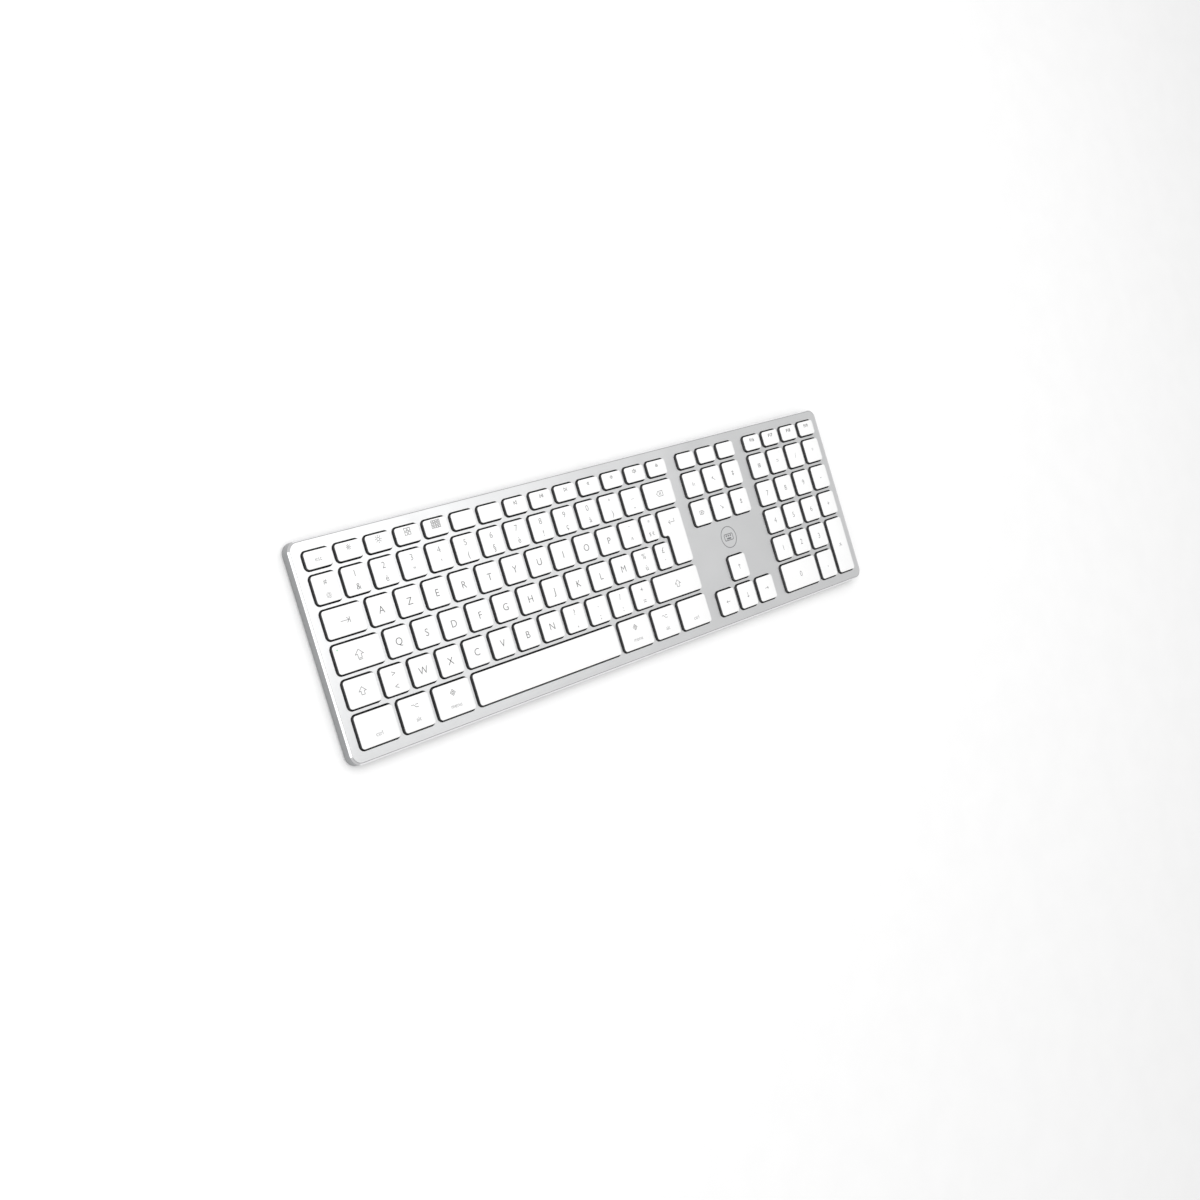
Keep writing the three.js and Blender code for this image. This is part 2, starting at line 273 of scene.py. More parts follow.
def add_noise(material, scale, detail=2.0):
    """A noise texture in object space, as its node."""
    nodes = material.node_tree.nodes
    place = nodes.new("ShaderNodeTexCoord")
    noise = nodes.new("ShaderNodeTexNoise")
    noise.inputs["Scale"].default_value = scale
    noise.inputs["Detail"].default_value = detail
    material.node_tree.links.new(place.outputs["Object"], noise.inputs["Vector"])
    return noise


def vary_roughness(material, noise, low, high):
    """Spreads the roughness between two values by a noise."""
    nodes = material.node_tree.nodes
    spread = nodes.new("ShaderNodeMapRange")
    spread.inputs["From Min"].default_value = NOISE_RANGE[0]
    spread.inputs["From Max"].default_value = NOISE_RANGE[1]
    spread.inputs["To Min"].default_value = low
    spread.inputs["To Max"].default_value = high
    links = material.node_tree.links
    links.new(noise.outputs["Fac"], spread.inputs["Value"])
    links.new(spread.outputs["Result"], nodes["Principled BSDF"].inputs["Roughness"])


def tint(material, noise, first, second):
    """Spreads the base colour between two colours by a noise."""
    nodes = material.node_tree.nodes
    ramp = nodes.new("ShaderNodeValToRGB")
    for stop, position, color in zip(ramp.color_ramp.elements, TINT_RANGE, (first, second)):
        stop.position = position
        stop.color = (*color, 1)
    links = material.node_tree.links
    links.new(noise.outputs["Fac"], ramp.inputs["Fac"])
    links.new(ramp.outputs["Color"], nodes["Principled BSDF"].inputs["Base Color"])


def roughen(material, noise, strength, distance):
    """Fine relief from a noise."""
    nodes = material.node_tree.nodes
    bump = nodes.new("ShaderNodeBump")
    bump.inputs["Strength"].default_value = strength
    bump.inputs["Distance"].default_value = distance
    links = material.node_tree.links
    links.new(noise.outputs["Fac"], bump.inputs["Height"])
    links.new(bump.outputs["Normal"], nodes["Principled BSDF"].inputs["Normal"])


def textured(name, color, roughness, metallic, grain, relief, depth, polish, tone):
    """A material with fine relief, and with patches of slightly different polish and tone."""
    material = new_material(name, color, roughness, metallic)
    roughen(material, add_noise(material, relief), grain, depth)
    scale, detail, change = polish
    vary_roughness(material, add_noise(material, scale, detail), roughness - change, roughness + change)
    scale, detail, shade = tone
    darker = [shade * channel for channel in color]
    tint(material, add_noise(material, scale, detail), color, darker)
    return material


def metal(name, color, roughness, grain):
    return textured(name, color, roughness, 1.0, grain, **METAL_NOISES)


def plastic(name, color, roughness, grain=0.15):
    return textured(name, color, roughness, 0.0, grain, **PLASTIC_NOISES)


satin = metal("satin_aluminium", (0.80, 0.805, 0.81), 0.34, 0.25)
polished = metal("polished_edge", (0.80, 0.80, 0.81), 0.16, 0.05)
# Painted shade: the cover's walls are a darker copy of its aluminium, to look shaded.
side_painted_shade = metal("grey_side", (0.34, 0.345, 0.35), 0.38, 0.25)
# Painted shade: the fine groove is a darker grey than the aluminium round it.
groove_grey = metal("groove_grey", (0.45, 0.45, 0.455), 0.4, 0.1)
cap_white = plastic("cap_white", (0.93, 0.93, 0.928), 0.42)
# Painted shade: the walls of every cap are near-black, as if shaded, while the tops are white plastic.
cap_side = plastic("cap_side", (0.07, 0.07, 0.072), 0.45)
base_white = plastic("base_white", (0.84, 0.84, 0.83), 0.5)
print_grey = plastic("print_grey", (0.06, 0.06, 0.062), 0.6)
print_pale = plastic("print_pale", (0.17, 0.17, 0.175), 0.6)
# Painted shade: the walls of the openings in the cover are near-black, as the shaded gaps round the caps.
well_dark = metal("well_dark", (0.02, 0.02, 0.021), 0.5, 0.2)
ring_grey = metal("ring_grey", (0.26, 0.26, 0.27), 0.4, 0.05)
foot_grey = plastic("foot_grey", (0.26, 0.265, 0.27), 0.8, 0.4)
dome_black = plastic("dome_black", (0.012, 0.012, 0.013), 0.6)
film_clear = plastic("film_clear", (0.55, 0.60, 0.61), 0.3)
inner_steel = metal("inner_steel", (0.55, 0.56, 0.57), 0.4, 0.2)
board_green = plastic("board_green", (0.03, 0.16, 0.08), 0.35)
cell_black = plastic("cell_black", (0.03, 0.03, 0.032), 0.5)
lamp_green = plastic("lamp_green", (0.25, 0.62, 0.35), 0.3)
gold = metal("gold_contact", (0.85, 0.62, 0.25), 0.25, 0.05)
port_steel = metal("port_steel", (0.62, 0.63, 0.64), 0.25, 0.1)
switch_white = plastic("switch_white", (0.80, 0.80, 0.79), 0.45)

# ---- Cover ----

# Three of these finishes are painted shade: the darker walls, the near-black walls of the openings and the
# grey groove.
COVER_FINISHES = [satin, polished, side_painted_shade, well_dark, groove_grey]
FACE, BEVEL, SHADED_WALL, SHADED_WELL, SHADED_GROOVE = range(len(COVER_FINISHES))
PORT_CORNER = 1.4 * MM
THUMB_WIDTH = 4.0 * MM
THUMB_CORNER = 0.4 * MM
SWITCH_TRAVEL = next(joint["range_m"][1] for joint in frame["record"]["behaviour"]["joints"]
                     if joint["child"] == "power_switch")


def build_cover():
    """The metal pan with an opening for every cap."""
    mesh = bmesh.new()
    corners = rectangle(CASE_LOW.x, CASE_LOW.y, CASE_HIGH.x, CASE_HIGH.y)
    underside = CASE_HIGH.z - SHEET

    def edge(inset, height):
        return ring(mesh, rounded(corners, inset, CASE_CORNER, CASE_CORNER_STEPS), height)

    ceiling = edge(WALL, underside)
    inner_rim = edge(WALL, CASE_LOW.z)
    outer_rim = edge(0, CASE_LOW.z)
    shoulder = edge(0, CASE_HIGH.z - EDGE_DROP)
    brow = edge(EDGE_WIDTH, CASE_HIGH.z)
    groove = edge(EDGE_WIDTH + EDGE_LINE / 2, CASE_HIGH.z - EDGE_LINE_DEPTH)
    face_edge = edge(EDGE_WIDTH + EDGE_LINE, CASE_HIGH.z)
    # The walls take the darker grey of painted shade.
    band(mesh, ceiling, inner_rim, SHADED_WALL)
    band(mesh, inner_rim, outer_rim, SHADED_WALL)
    band(mesh, outer_rim, shoulder, SHADED_WALL)
    band(mesh, shoulder, brow, BEVEL)
    # The groove takes a darker grey as painted shade.
    band(mesh, brow, groove, SHADED_GROOVE)
    band(mesh, groove, face_edge, SHADED_GROOVE)
    low_holes = []
    high_holes = []
    for caps in KEYS.values():
        for cap in caps:
            outer = rounded(cap, -KEY_GAP, KEY_CORNER, CORNER_STEPS)
            broken = rounded(cap, -KEY_GAP - OPENING_BREAK, KEY_CORNER, CORNER_STEPS)
            low = ring(mesh, outer, underside)
            lip = ring(mesh, outer, CASE_HIGH.z - OPENING_BREAK)
            high = ring(mesh, broken, CASE_HIGH.z)
            # The opening's wall below its lip is near-black painted shade.
            band(mesh, low, lip, SHADED_WELL, flip=True)
            band(mesh, lip, high, FACE, flip=True)
            low_holes.append(low)
            high_holes.append(high)
    fill(mesh, face_edge, high_holes, facing_up=True)
    fill(mesh, ceiling, low_holes, facing_up=False)
    shell = finish_piece("cover_shell", mesh, COVER_FINISHES, "case", ["top_cover"])
    for outline, radius in rear_openings():
        cut_rear_wall(shell, outline, radius)
    shell.data.set_sharp_from_angle(angle=math.radians(SHARP_ANGLE))


def rear_openings():
    """The port's and the switch's openings, as corners in XZ with a corner radius."""
    low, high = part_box("usb_port")
    port = rectangle(low.x - CLEARANCE, low.z - CLEARANCE, high.x + CLEARANCE, high.z + CLEARANCE)
    low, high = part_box("power_switch")
    centre = (low.x + high.x) / 2
    reach = THUMB_WIDTH / 2 + CLEARANCE
    slot = rectangle(centre - reach, low.z, centre + reach + SWITCH_TRAVEL, high.z)
    return [(port, PORT_CORNER + CLEARANCE), (slot, THUMB_CORNER + CLEARANCE)]


def cut_rear_wall(piece, corners, radius):
    """Cuts an outline in XZ through the cover's rear wall."""
    mesh = bmesh.new()
    outline = rounded(corners, 0, radius, CORNER_STEPS)
    loft(mesh, [(outline, -CASE_HIGH.y - WALL), (outline, -CASE_HIGH.y + 2 * WALL)])
    turn_upright(mesh)
    # The cut faces take the painted shade of the walls.
    for face in mesh.faces:
        face.material_index = SHADED_WALL
    data = bpy.data.meshes.new("cutter")
    mesh.to_mesh(data)
    mesh.free()
    for material in COVER_FINISHES:
        data.materials.append(material)
    cutter = bpy.data.objects.new("cutter", data)
    bpy.context.collection.objects.link(cutter)
    boolean = piece.modifiers.new("opening", "BOOLEAN")
    boolean.operation = "DIFFERENCE"
    boolean.solver = "EXACT"
    boolean.object = cutter
    bpy.context.view_layer.update()
    evaluated = piece.evaluated_get(bpy.context.evaluated_depsgraph_get())
    result = bpy.data.meshes.new_from_object(evaluated)
    piece.modifiers.clear()
    piece.data = result
    bpy.data.objects.remove(cutter)


build_cover()

# ---- Keycaps ----

# The caps' second finish is near-black painted shade on their walls.
CAP_FINISHES = [cap_white, cap_side]
CAP_FACE, SHADED_CAP_SIDE = range(len(CAP_FINISHES))


def add_cap(mesh, corners):
    """A hollow cap with a rounded top edge."""

    def outline(inset):
        return rounded(corners, inset, CAP_CORNER, CORNER_STEPS)

    levels = [(outline(CAP_WALL), CAP_TOP - CAP_WALL), (outline(CAP_WALL), CAP_BOTTOM),
              (outline(0), CAP_BOTTOM)]
    # The inner walls, the lower rim and the outer walls take the painted shade; the rounded top edge and
    # the top stay white.
    sides = [SHADED_CAP_SIDE] * len(levels)
    for step in range(EDGE_STEPS + 1):
        angle = step / EDGE_STEPS * math.pi / 2
        inset = CAP_EDGE * (1 - math.cos(angle))
        levels.append((outline(inset), CAP_TOP - CAP_EDGE + CAP_EDGE * math.sin(angle)))
    loft(mesh, levels, sides + [CAP_FACE] * EDGE_STEPS)


for node, caps in KEYS.items():
    cap_mesh = bmesh.new()
    for cap in caps:
        add_cap(cap_mesh, cap)
    finish_piece(node + "_cap", cap_mesh, CAP_FINISHES, node, [node], ROUNDED_ANGLE)

# ---- Print on the caps ----

ARROW_UP = [(-0.9, 0), (0, 0.9), (0.9, 0), (0.4, 0), (0.4, -0.75), (-0.4, -0.75), (-0.4, 0), (-0.9, 0)]
ERASE_LEFT = [(-1, 0), (-0.45, 0.6), (1, 0.6), (1, -0.6), (-0.45, -0.6), (-1, 0)]


def arc(centre_x, centre_y, radius, start=0, end=360, steps=20):
    """A round stroke between two angles in degrees."""
    angles = [math.radians(start + (end - start) * i / steps) for i in range(steps + 1)]
    return [(centre_x + radius * math.cos(a), centre_y + radius * math.sin(a)) for a in angles]


def arrow(angle, length=0.9, head=0.45):
    """Strokes of a line arrow that points at an angle in degrees."""
    turn = Matrix.Rotation(math.radians(angle), 2)
    shaft = [(-length, 0), (length, 0)]
    barbs = [(length - head, head), (length, 0), (length - head, -head)]
    return [[tuple(turn @ Vector(p)) for p in stroke] for stroke in (shaft, barbs)]


def mirrored(strokes):
    """The strokes with left and right exchanged."""
    return [[(-x, y) for x, y in stroke] for stroke in strokes]


def sun(radius, rays):
    """A small disc outline with short rays round it."""
    strokes = [arc(0, 0, radius)]
    for index in range(rays):
        angle = 2 * math.pi * index / rays
        across = Vector((math.cos(angle), math.sin(angle)))
        strokes.append([tuple(across * (radius + 0.3)), tuple(across * (radius + 0.55))])
    return strokes


def panes(columns, rows, size, gap):
    """A grid of small squares."""
    strokes = []
    for column in range(columns):
        for row in range(rows):
            x = (column - (columns - 1) / 2) * (size + gap)
            y = (row - (rows - 1) / 2) * (size + gap)
            half = size / 2
            strokes.append([(x - half, y - half), (x + half, y - half), (x + half, y + half),
                            (x - half, y + half), (x - half, y - half)])
    return strokes


def speaker(waves):
    """A loudspeaker with a number of sound waves."""
    body = [(-0.9, 0.25), (-0.55, 0.25), (-0.15, 0.6), (-0.15, -0.6), (-0.55, -0.25),
            (-0.9, -0.25), (-0.9, 0.25)]
    return [body] + [arc(-0.15, 0, 0.4 + 0.3 * wave, -40, 40, 8) for wave in range(waves)]


def diamond(reach):
    return [(-reach, 0), (0, reach), (reach, 0), (0, -reach), (-reach, 0)]


PLAY = [(-0.35, 0.45), (0.4, 0), (-0.35, -0.45), (-0.35, 0.45)]
CROSS = [[(-0.15, 0.28), (0.41, -0.28)], [(-0.15, -0.28), (0.41, 0.28)]]

# Line drawings, in units of half the icon's height
ICONS = {
    "tab": arrow(0) + [[(1.05, 0.5), (1.05, -0.5)]],
    "caps": [ARROW_UP, [(-0.4, -1.0), (0.4, -1.0)]],
    "shift": [ARROW_UP],
    "erase": [ERASE_LEFT, *CROSS],
    "erase_ahead": mirrored([ERASE_LEFT, *CROSS]),
    "return": [[(0.8, 0.6), (0.8, 0), (-0.8, 0)], [(-0.4, 0.4), (-0.8, 0), (-0.4, -0.4)]],
    "left": arrow(180),
    "right": arrow(0),
    "up": arrow(90),
    "down": arrow(-90),
    "home": arrow(135),
    "end": arrow(-45),
    "page_up": arrow(90) + [[(-0.4, -0.2), (0.4, -0.2)], [(-0.4, -0.55), (0.4, -0.55)]],
    "page_down": arrow(-90) + [[(-0.4, 0.2), (0.4, 0.2)], [(-0.4, 0.55), (0.4, 0.55)]],
    "clear": panes(1, 1, 1.3, 0) + [[(-0.3, 0.3), (0.3, -0.3)], [(-0.3, -0.3), (0.3, 0.3)]],
    "enter": [[(-0.7, -0.5), (0, 0.2), (0.7, -0.5)], [(-0.5, 0.55), (0.5, 0.55)]],
    "dim": sun(0.3, 8),
    "bright": sun(0.42, 8),
    "windows": panes(2, 2, 0.75, 0.3),
    "grid": panes(4, 3, 0.48, 0.24),
    "previous": mirrored([PLAY, [(0.55, 0.45), (0.55, -0.45)]]),
    "play": [PLAY, [(0.6, 0.45), (0.6, -0.45)], [(0.85, 0.45), (0.85, -0.45)]],
    "next": [PLAY, [(0.55, 0.45), (0.55, -0.45)]],
    "quiet": speaker(1),
    "louder": speaker(2),
    "mute": speaker(0),
    "eject": [[(-0.6, -0.15), (0, 0.55), (0.6, -0.15), (-0.6, -0.15)], [(-0.6, -0.5), (0.6, -0.5)]],
    "lines": [[(-0.8, 0.3), (-0.3, 0.3), (0.3, -0.3), (0.8, -0.3)], [(0.2, 0.3), (0.8, 0.3)]],
    "diamond": [diamond(0.65), diamond(0.3)],
}

# Each style: type size, whether the tone is the darker one, and how much bolder than the plain font
# it is, as a share of the size
STYLES = {
    "letter": (5.7 * MM, True, -0.012),
    "digit": (4.9 * MM, False, -0.012),
    "sign": (4.7 * MM, False, -0.005),
    "word": (3.3 * MM, False, -0.01),
    "name": (2.9 * MM, True, 0.02),
    "mark": (3.7 * MM, True, -0.005),
}
# How much larger than ICON_SIZE an icon is drawn
ICON_SCALES = {
    "tab": 1.75, "caps": 1.75, "shift": 1.55, "erase": 1.6, "erase_ahead": 1.15, "return": 1.9,
    "bright": 1.3, "windows": 1.3, "grid": 1.35, "previous": 1.4, "play": 1.25, "next": 1.4,
    "mute": 0.9, "louder": 1.25, "lines": 1.6, "diamond": 1.6,
}
# Shifts to the rear of a cap's middle, in pitches
UPPER = 0.19
FUNCTION_SHIFT = 0.09
RETURN_SHIFT = 0.5

# A mark is (style, content, shift). Each cap has a list of marks, and each node a list of caps.


def single(style, content, shift=0):
    """A node of one cap with one mark."""
    return [[(style, content, shift)]]


def letters(text):
    """A row of caps with one letter each."""
    return [[("letter", character, 0)] for character in text]


def pair(upper, lower, upper_style="digit", lower_style="sign"):
    """A cap with two marks, one behind the other."""
    return [(upper_style, upper, UPPER), (lower_style, lower, -UPPER)]


def modifier(word, icon=None):
    """A cap with a word, and often an icon behind it."""
    marks = [("word", word, -UPPER)]
    return marks + ([("icon", icon, UPPER)] if icon else [])


def function_marks(names):
    """A row of caps with one icon each, or none."""
    return [[("icon", name, FUNCTION_SHIFT)] if name else [] for name in names]


LEGENDS = {
    "function_row_keys": single("word", "esc") + function_marks(
        ["dim", "bright", "windows", "grid", None, None, "previous", "play", "next",
         "mute", "quiet", "louder", "eject"]),
    "number_row_keys": [pair("#", "@", "mark", "word")]
    + [pair(digit, sign) for digit, sign in zip("1234567890", "&é\"'(§è!çà")]
    + [pair("°", ")", "sign"), pair("_", "-", "sign")],
    "upper_letter_keys": letters("AZERTYUIOP")
    + [pair("¨", "^", "sign"), pair("*", "$ €", "sign", "word")],
    "home_letter_keys": letters("QSDFGHJKLM") + [pair("%", "ù", "sign"), pair("£", "`", "sign")],
    "lower_letter_keys": [pair(">", "<", "sign")] + letters("WXCVBN")
    + [pair(upper, lower, "sign") for upper, lower in ("?,", ".;", "/:", "+=")],
    "left_modifier_keys": [modifier("ctrl"), modifier("alt", "lines"), modifier("menu", "diamond")],
    "right_modifier_keys": [modifier("menu", "diamond"), modifier("alt", "lines"), modifier("ctrl")],
    "return_key": single("icon", "return", RETURN_SHIFT),
    "function_key": single("word", "fn"),
}
ICON_KEYS = {
    "backspace": "erase", "forward_delete": "erase_ahead", "tab": "tab", "caps_lock": "caps",
    "left_shift": "shift", "right_shift": "shift", "home": "home", "end": "end",
    "page_up": "page_up", "page_down": "page_down", "left_arrow": "left", "right_arrow": "right",
    "up_arrow": "up", "down_arrow": "down", "pad_clear": "clear", "pad_enter": "enter",
}
for name, icon in ICON_KEYS.items():
    LEGENDS[name + "_key"] = single("icon", icon)
PAD_KEYS = {
    "zero": "0", "one": "1", "two": "2", "three": "3", "four": "4", "five": "5", "six": "6",
    "seven": "7", "eight": "8", "nine": "9", "point": ",", "equals": "=", "divide": "/",
    "multiply": "*", "minus": "-", "plus": "+",
}
for name, sign in PAD_KEYS.items():
    LEGENDS["pad_%s_key" % name] = single("digit", sign)
for number in range(16, 20):
    LEGENDS["f%d_key" % number] = single("name", "F%d" % number, FUNCTION_SHIFT)


def add_stroke(mesh, points, low, high):
    """A mitred bar along points of the XY plane, closed if it ends where it starts."""
    closed = points[0] == points[-1]
    if closed:
        points = points[:-1]
    count = len(points)
    half = LEGEND_STROKE / 2
    rails = [[], [], [], []]
    for index, point in enumerate(points):
        starts = index == 0 and not closed
        ends = index == count - 1 and not closed
        arriving = None if starts else (point - points[index - 1]).normalized()
        leaving = None if ends else (points[(index + 1) % count] - point).normalized()
        arriving = arriving or leaving
        leaving = leaving or arriving
        across = Vector((-arriving.y - leaving.y, arriving.x + leaving.x))
        across *= half / (1 + arriving.dot(leaving))
        along = (leaving if ends else -leaving) * half if starts or ends else Vector((0, 0))
        for rail, side, height in zip(rails, (across, across, -across, -across), (low, high, high, low)):
            rail.append(mesh.verts.new((*(point + along + side), height)))
    for index in range(count if closed else count - 1):
        after = (index + 1) % count
        for first, second in zip(rails, rails[1:] + rails[:1]):
            mesh.faces.new((first[index], second[index], second[after], first[after]))
    if not closed:
        mesh.faces.new([rail[0] for rail in rails][::-1])
        mesh.faces.new([rail[-1] for rail in rails])


def add_icon(mesh, name, place):
    """A line drawing whose strokes rise one above the other, so that their tops never coincide."""
    size = ICON_SIZE * ICON_SCALES.get(name, 1)
    for index, stroke in enumerate(ICONS[name]):
        points = [place + Vector(p) * size / 2 for p in stroke]
        nearly_closed = (points[0] - points[-1]).length < STROKE_STEP
        if nearly_closed:
            points[-1] = points[0]
        rise = index * STROKE_STEP
        add_stroke(mesh, points, CAP_TOP - LEGEND_HEIGHT - rise, CAP_TOP + LEGEND_HEIGHT + rise)


def add_text(mesh, text, place, size, bolder):
    """Solid type, centred on a place."""
    curve = bpy.data.curves.new("print", "FONT")
    curve.body = text
    curve.size = size
    curve.align_x = "CENTER"
    curve.extrude = LEGEND_HEIGHT
    curve.offset = bolder
    curve.resolution_u = GLYPH_STEPS
    holder = bpy.data.objects.new("print", curve)
    data = bpy.data.meshes.new_from_object(holder)
    baseline = place.y - CAPITAL_HEIGHT * size / 2
    data.transform(Matrix.Translation((place.x, baseline, CAP_TOP)))
    mesh.from_mesh(data)
    bpy.data.meshes.remove(data)
    bpy.data.objects.remove(holder)
    bpy.data.curves.remove(curve)


def build_legends(node):
    """All the print on one node's caps, as two pieces: the darker print and the paler print."""
    dark = bmesh.new()
    pale = bmesh.new()
    for corners, marks in zip(KEYS[node], LEGENDS.get(node, [])):
        for style, content, shift in marks:
            place = middle(corners) + Vector((0, shift)) * PITCH
            if style == "icon":
                add_icon(pale, content, place)
            else:
                size, is_dark, weight = STYLES[style]
                add_text(dark if is_dark else pale, content, place, size, weight * size)
    for mesh, tone, suffix in ((dark, print_grey, "_print"), (pale, print_pale, "_fine_print")):
        if mesh.verts:
            bmesh.ops.remove_doubles(mesh, verts=mesh.verts, dist=WELD_DISTANCE)
            bmesh.ops.recalc_face_normals(mesh, faces=mesh.faces)
            finish_piece(node + suffix, mesh, [tone], node)
        else:
            mesh.free()


for node in KEYS:
    build_legends(node)

# ---- Lamp in the caps lock key and ring on the cover ----

LAMP_RADIUS = 0.45 * MM
LAMP_INSET = 2.4 * MM
RING_RADIUS = 6.9 * MM
RING_WIDTH = 0.45 * MM
RING_RISE = 0.03 * MM
RING_STEPS = 64
SIGN_WIDTH = 8.0 * MM  # of the outline inside the ring
SIGN_DEPTH = 4.4 * MM
SIGN_LINE = 0.45 * MM
SIGN_ROW = SIGN_DEPTH / 5  # from its middle to each row of its keys
SIGN_KEY = 1.1 * MM
SIGN_KEY_DEPTH = 0.9 * SIGN_KEY
SIGN_KEY_PITCH = 1.7 * SIGN_KEY
SIGN_BAR = 3.4 * SIGN_KEY


def build_lamp():
    """A small round lamp at the rear left of the cap."""
    left, _, _, rear = flat_box("caps_lock_key")
    centre = Vector((left + LAMP_INSET, rear - LAMP_INSET))
    outline = [centre + Vector(p) * LAMP_RADIUS for p in arc(0, 0, 1)[:-1]]
    mesh = bmesh.new()
    loft(mesh, [(outline, CAP_TOP - LAMP_RADIUS), (outline, CAP_TOP + LEGEND_HEIGHT)])
    finish_piece("caps_lock_lamp", mesh, [lamp_green], "caps_lock_key")


def add_frame(mesh, outer, inner, low, high):
    """A closed band of metal between two outlines."""
    corners = [ring(mesh, outer, low), ring(mesh, outer, high),
               ring(mesh, inner, high), ring(mesh, inner, low)]
    for index in range(4):
        band(mesh, corners[index], corners[(index + 1) % 4])


def build_ring():
    """A plain ring round a small outline of a keyboard, let into the metal behind the up arrow."""
    middle_x = middle(KEYS["up_arrow_key"][0]).x
    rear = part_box("page_down_key")[0].y
    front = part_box("up_arrow_key")[1].y
    centre = Vector((middle_x, (rear + front) / 2))
    low = CASE_HIGH.z - RING_RISE
    high = CASE_HIGH.z + RING_RISE

    def circle(radius):
        return [centre + Vector(p) * radius for p in arc(0, 0, 1, steps=RING_STEPS)[:-1]]

    def block(x, y, width, depth, radius, inset=0):
        corners = rectangle(x - width / 2, y - depth / 2, x + width / 2, y + depth / 2)
        return rounded([centre + corner for corner in corners], inset, radius, CORNER_STEPS)

    mesh = bmesh.new()
    add_frame(mesh, circle(RING_RADIUS), circle(RING_RADIUS - RING_WIDTH), low, high)
    outer, inner = (block(0, 0, SIGN_WIDTH, SIGN_DEPTH, 2 * SIGN_LINE, inset) for inset in (0, SIGN_LINE))
    add_frame(mesh, outer, inner, low, high)
    keys = [(column * SIGN_KEY_PITCH, SIGN_ROW, SIGN_KEY) for column in (-1, 0, 1)]
    for x, y, width in [*keys, (0, -SIGN_ROW, SIGN_BAR)]:
        key = block(x, y, width, SIGN_KEY_DEPTH, SIGN_KEY / 4)
        loft(mesh, [(key, low), (key, high)])
    finish_piece("cover_ring", mesh, [ring_grey], "case")


build_lamp()
build_ring()

# ---- Base and feet ----


def build_slab(name, node, radius, steps, edge, material):
    """A plate with rounded corners and a rounded lower edge."""
    mesh = bmesh.new()
    low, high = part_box(node)
    corners = rectangle(low.x, low.y, high.x, high.y)
    levels = []
    for step in range(EDGE_STEPS + 1):
        angle = step / EDGE_STEPS * math.pi / 2
        inset = edge * (1 - math.sin(angle))
        levels.append((rounded(corners, inset, radius, steps), low.z + edge * (1 - math.cos(angle))))
    levels.append((rounded(corners, 0, radius, steps), high.z))
    loft(mesh, levels)
    finish_piece(name, mesh, [material], "case", [node], ROUNDED_ANGLE)


build_slab("base_plate", "bottom_cover", CASE_CORNER - WALL, CASE_CORNER_STEPS, BASE_EDGE,
           base_white)
for name, foot in (("front_pad", "front_foot"), ("rear_pad", "rear_foot")):
    build_slab(name, foot, FOOT_CORNER, FOOT_CORNER_STEPS, FOOT_EDGE, foot_grey)

# ---- Port, switch and domes ----

PORT_WALL = 0.4 * MM
PORT_EDGE = 0.1 * MM
TONGUE = 0.7 * MM
TONGUE_WIDTH = 6.2 * MM
TONGUE_CORNER = TONGUE / 3
TONGUE_CORNER_STEPS = 2
TONGUE_REACH = 0.8  # share of the port's length
CONTACTS = 10
CONTACT_SHARE = 0.6  # width of a contact, in contact pitches
THUMB_EDGE = 0.15 * MM
CARRIER_OVERLAP = 0.004 * MM  # of the carrier with the thumb piece
RIDGES = 3
RIDGE_PITCH = 0.95 * MM
RIDGE_WIDTH = 0.4 * MM
RIDGE_RISE = 0.15 * MM
RIDGE_CORNER = RIDGE_WIDTH / 3
RIDGE_CORNER_STEPS = 3
DOME_SHEET = 0.2 * MM
DOME_SIDES = 20
# Radius, and share of the dome's height
DOME_PROFILE = [(3.0 * MM, 0), (2.85 * MM, 0.35), (2.5 * MM, 0.75), (2.0 * MM, 0.95), (1.3 * MM, 1)]


def build_port():
    """A drawn metal shell with a contact tongue in it."""
    low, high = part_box("usb_port")
    corners = rectangle(low.x, low.z, high.x, high.z)
    mouth = -high.y
    back = -low.y
    levels = [(PORT_WALL, back - PORT_WALL), (PORT_WALL, mouth + PORT_EDGE), (PORT_WALL - PORT_EDGE, mouth),
              (PORT_EDGE, mouth), (0, mouth + PORT_EDGE), (0, back)]
    mesh = bmesh.new()
    loft(mesh, [(rounded(corners, inset, PORT_CORNER, CORNER_STEPS), height) for inset, height in levels])
    turn_upright(mesh)
    finish_piece("port_shell", mesh, [port_steel], "case", ["usb_port"])

    middle_z = (low.z + high.z) / 2
    reach = (back - mouth) * TONGUE_REACH
    tongue = rectangle(-TONGUE_WIDTH / 2, middle_z - TONGUE / 2, TONGUE_WIDTH / 2, middle_z + TONGUE / 2)
    mesh = bmesh.new()
    levels = [(PORT_EDGE, back - reach), (0, back - reach + PORT_EDGE), (0, back - PORT_WALL / 2)]
    loft(mesh, [(rounded(tongue, inset, TONGUE_CORNER, TONGUE_CORNER_STEPS), height)
                for inset, height in levels])
    turn_upright(mesh)
    finish_piece("port_tongue", mesh, [cell_black], "case")

    mesh = bmesh.new()
    contact_pitch = TONGUE_WIDTH / (CONTACTS + 0.5)
    half = contact_pitch * CONTACT_SHARE / 2
    for index in range(CONTACTS):
        x = (index - (CONTACTS - 1) / 2) * contact_pitch
        for side in (-1, 1):
            face = middle_z + side * TONGUE / 2
            strip = rectangle(x - half, face - PORT_EDGE / 2, x + half, face + PORT_EDGE / 2)
            loft(mesh, [(strip, back - reach + 2 * PORT_EDGE), (strip, back - PORT_WALL)])
    turn_upright(mesh)
    finish_piece("port_contacts", mesh, [gold], "case")


